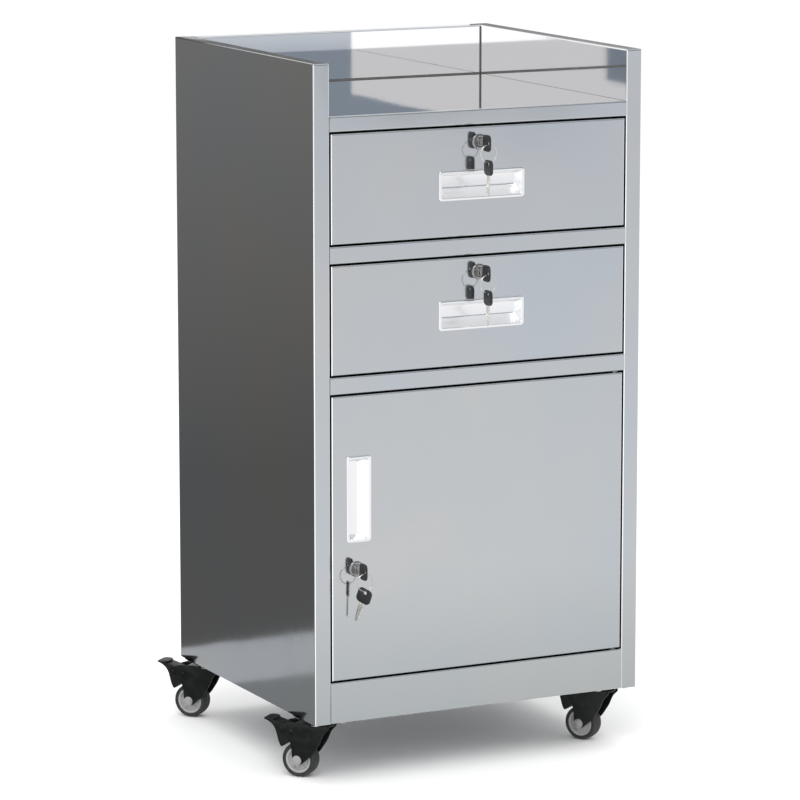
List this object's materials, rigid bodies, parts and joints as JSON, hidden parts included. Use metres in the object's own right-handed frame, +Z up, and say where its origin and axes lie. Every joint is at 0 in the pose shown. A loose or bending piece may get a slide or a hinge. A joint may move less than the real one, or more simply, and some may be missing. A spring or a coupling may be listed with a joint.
{
  "type": "bedside cabinet",
  "caption": "Hospital bedside cabinet in polished stainless sheet: open-fronted top tray, two locking drawers over a locking cupboard door, on braked swivel castors.",
  "frame": {"origin": "on the floor, under the centre of the carcass", "axes": "+Z up, front towards -Y, +X to the right when facing the front"},
  "size_m": [0.5124, 0.4838, 0.907],
  "materials": {
    "stainless_steel": "polished stainless sheet",
    "inner_steel": "mill-finish stainless sheet",
    "slide_steel": "zinc-plated slide",
    "zinc_steel": "zinc-plated",
    "pull_chrome": "bright recessed pull",
    "lock_chrome": "chromed lock",
    "key_steel": "nickel blade, black plastic bow",
    "castor_black": "black e-coat",
    "pedal_plastic": "black moulded",
    "wheel_plastic": "grey moulded",
    "tyre_rubber": "dark grey rubber",
    "nylon": "natural nylon"
  },
  "bodies": {
    "root": {"back_panel": "stainless_steel", "base_pan": "stainless_steel", "castor_kingpins": "zinc_steel", "castor_screws": "zinc_steel", "castor_top_plates": "castor_black", "divider_panel": "stainless_steel", "door_pivot_bushes": "nylon", "left_side_panel": "stainless_steel", "lower_slide_outers": "slide_steel", "right_side_panel": "stainless_steel", "slide_screws": "zinc_steel", "slide_uprights": "inner_steel", "top_tray": "stainless_steel", "upper_rail": "stainless_steel", "upper_slide_outers": "slide_steel"},
    "upper_drawer": {"upper_drawer_front": "stainless_steel", "upper_drawer_box": "inner_steel", "upper_drawer_pull": "pull_chrome", "upper_slide_inners": "slide_steel", "upper_lock_housing": "lock_chrome"},
    "upper_slide_mid": {"upper_slide_mids": "slide_steel"},
    "lower_drawer": {"lower_drawer_front": "stainless_steel", "lower_drawer_box": "inner_steel", "lower_drawer_pull": "pull_chrome", "lower_slide_inners": "slide_steel", "lower_lock_housing": "lock_chrome"},
    "lower_slide_mid": {"lower_slide_mids": "slide_steel"},
    "door": {"door_panel": "stainless_steel", "door_stiffener": "inner_steel", "door_pull": "pull_chrome", "door_pivot_pins": "zinc_steel", "door_lock_housing": "lock_chrome"},
    "upper_lock": {"upper_lock_plug": "lock_chrome", "upper_lock_cam": "zinc_steel", "upper_key": "key_steel"},
    "upper_key_ring_hang": {"upper_key_ring": "key_steel"},
    "lower_lock": {"lower_lock_plug": "lock_chrome", "lower_lock_cam": "zinc_steel", "lower_key": "key_steel"},
    "lower_key_ring_hang": {"lower_key_ring": "key_steel"},
    "door_lock": {"door_lock_plug": "lock_chrome", "door_lock_cam": "zinc_steel", "door_key": "key_steel"},
    "door_key_ring_hang": {"door_key_ring": "key_steel"},
    "castor_front_left_swivel": {"castor_front_left_fork": "castor_black"},
    "castor_front_left_wheel": {"castor_front_left_wheel_core": "wheel_plastic", "castor_front_left_tyre": "tyre_rubber"},
    "castor_front_left_brake": {"castor_front_left_brake_pedal": "pedal_plastic"},
    "castor_front_right_swivel": {"castor_front_right_fork": "castor_black"},
    "castor_front_right_wheel": {"castor_front_right_wheel_core": "wheel_plastic", "castor_front_right_tyre": "tyre_rubber"},
    "castor_front_right_brake": {"castor_front_right_brake_pedal": "pedal_plastic"},
    "castor_rear_left_swivel": {"castor_rear_left_fork": "castor_black"},
    "castor_rear_left_wheel": {"castor_rear_left_wheel_core": "wheel_plastic", "castor_rear_left_tyre": "tyre_rubber"},
    "castor_rear_left_brake": {"castor_rear_left_brake_pedal": "pedal_plastic"},
    "castor_rear_right_swivel": {"castor_rear_right_fork": "castor_black"},
    "castor_rear_right_wheel": {"castor_rear_right_wheel_core": "wheel_plastic", "castor_rear_right_tyre": "tyre_rubber"},
    "castor_rear_right_brake": {"castor_rear_right_brake_pedal": "pedal_plastic"}
  },
  "joints": [
    {"name": "upper_drawer_slide", "type": "slide", "parent": "root", "child": "upper_drawer", "axis": [0, -1, 0], "range_m": [0, 0.34]},
    {"name": "upper_slide_mid_travel", "type": "slide", "parent": "root", "child": "upper_slide_mid", "axis": [0, -1, 0], "range_m": [0, 0.17]},
    {"name": "lower_drawer_slide", "type": "slide", "parent": "root", "child": "lower_drawer", "axis": [0, -1, 0], "range_m": [0, 0.34]},
    {"name": "lower_slide_mid_travel", "type": "slide", "parent": "root", "child": "lower_slide_mid", "axis": [0, -1, 0], "range_m": [0, 0.17]},
    {"name": "door_hinge", "type": "hinge", "parent": "root", "child": "door", "pos_m": [0.197, -0.204, 0.307], "axis": [0, 0, 1], "range_deg": [0, 110]},
    {"name": "upper_lock_turn", "type": "hinge", "parent": "upper_drawer", "child": "upper_lock", "pos_m": [-0.0015, -0.21, 0.801], "axis": [0, -1, 0], "range_deg": [0, 90]},
    {"name": "upper_key_ring_turn", "type": "hinge", "parent": "upper_lock", "child": "upper_key_ring_hang", "pos_m": [-0.0015, -0.2347, 0.7885], "axis": [0, -1, 0], "range_deg": [-90, 0]},
    {"name": "lower_lock_turn", "type": "hinge", "parent": "lower_drawer", "child": "lower_lock", "pos_m": [-0.0015, -0.21, 0.638], "axis": [0, -1, 0], "range_deg": [0, 90]},
    {"name": "lower_key_ring_turn", "type": "hinge", "parent": "lower_lock", "child": "lower_key_ring_hang", "pos_m": [-0.0015, -0.2347, 0.6255], "axis": [0, -1, 0], "range_deg": [-90, 0]},
    {"name": "door_lock_turn", "type": "hinge", "parent": "door", "child": "door_lock", "pos_m": [-0.1725, -0.21, 0.2745], "axis": [0, 1, 0], "range_deg": [0, 90]},
    {"name": "door_key_ring_turn", "type": "hinge", "parent": "door_lock", "child": "door_key_ring_hang", "pos_m": [-0.1725, -0.2347, 0.262], "axis": [0, 1, 0], "range_deg": [-90, 0]},
    {"name": "castor_front_left_swivel_turn", "type": "hinge", "parent": "root", "child": "castor_front_left_swivel", "pos_m": [-0.203, -0.17, 0.0715], "axis": [0, 0, 1], "continuous": true},
    {"name": "castor_front_left_wheel_roll", "type": "hinge", "parent": "castor_front_left_swivel", "child": "castor_front_left_wheel", "pos_m": [-0.221, -0.14855, 0.0225], "axis": [-0.766, -0.6428, 0], "continuous": true},
    {"name": "castor_front_left_brake_press", "type": "hinge", "parent": "castor_front_left_swivel", "child": "castor_front_left_brake", "pos_m": [-0.22614, -0.14242, 0.0595], "axis": [-0.766, -0.6428, 0], "range_deg": [0, 7]},
    {"name": "castor_front_right_swivel_turn", "type": "hinge", "parent": "root", "child": "castor_front_right_swivel", "pos_m": [0.203, -0.17, 0.0715], "axis": [0, 0, 1], "continuous": true},
    {"name": "castor_front_right_wheel_roll", "type": "hinge", "parent": "castor_front_right_swivel", "child": "castor_front_right_wheel", "pos_m": [0.18816, -0.14625, 0.0225], "axis": [-0.848, -0.5299, 0], "continuous": true},
    {"name": "castor_front_right_brake_press", "type": "hinge", "parent": "castor_front_right_swivel", "child": "castor_front_right_brake", "pos_m": [0.18392, -0.13947, 0.0595], "axis": [-0.848, -0.5299, 0], "range_deg": [0, 7]},
    {"name": "castor_rear_left_swivel_turn", "type": "hinge", "parent": "root", "child": "castor_rear_left_swivel", "pos_m": [-0.203, 0.17, 0.0715], "axis": [0, 0, 1], "continuous": true},
    {"name": "castor_rear_left_wheel_roll", "type": "hinge", "parent": "castor_rear_left_swivel", "child": "castor_rear_left_wheel", "pos_m": [-0.221, 0.19145, 0.0225], "axis": [-0.766, -0.6428, 0], "continuous": true},
    {"name": "castor_rear_left_brake_press", "type": "hinge", "parent": "castor_rear_left_swivel", "child": "castor_rear_left_brake", "pos_m": [-0.22614, 0.19758, 0.0595], "axis": [-0.766, -0.6428, 0], "range_deg": [0, 7]},
    {"name": "castor_rear_right_swivel_turn", "type": "hinge", "parent": "root", "child": "castor_rear_right_swivel", "pos_m": [0.203, 0.17, 0.0715], "axis": [0, 0, 1], "continuous": true},
    {"name": "castor_rear_right_wheel_roll", "type": "hinge", "parent": "castor_rear_right_swivel", "child": "castor_rear_right_wheel", "pos_m": [0.21825, 0.19348, 0.0225], "axis": [-0.8387, 0.5446, 0], "continuous": true},
    {"name": "castor_rear_right_brake_press", "type": "hinge", "parent": "castor_rear_right_swivel", "child": "castor_rear_right_brake", "pos_m": [0.22261, 0.20019, 0.0595], "axis": [-0.8387, 0.5446, 0], "range_deg": [0, 7]}
  ],
  "couplings": [
    {"joint": "upper_slide_mid_travel", "follows": "upper_drawer_slide", "ratio": 0.5},
    {"joint": "lower_slide_mid_travel", "follows": "lower_drawer_slide", "ratio": 0.5},
    {"joint": "upper_key_ring_turn", "follows": "upper_lock_turn", "ratio": -1},
    {"joint": "lower_key_ring_turn", "follows": "lower_lock_turn", "ratio": -1},
    {"joint": "door_key_ring_turn", "follows": "door_lock_turn", "ratio": -1}
  ]
}
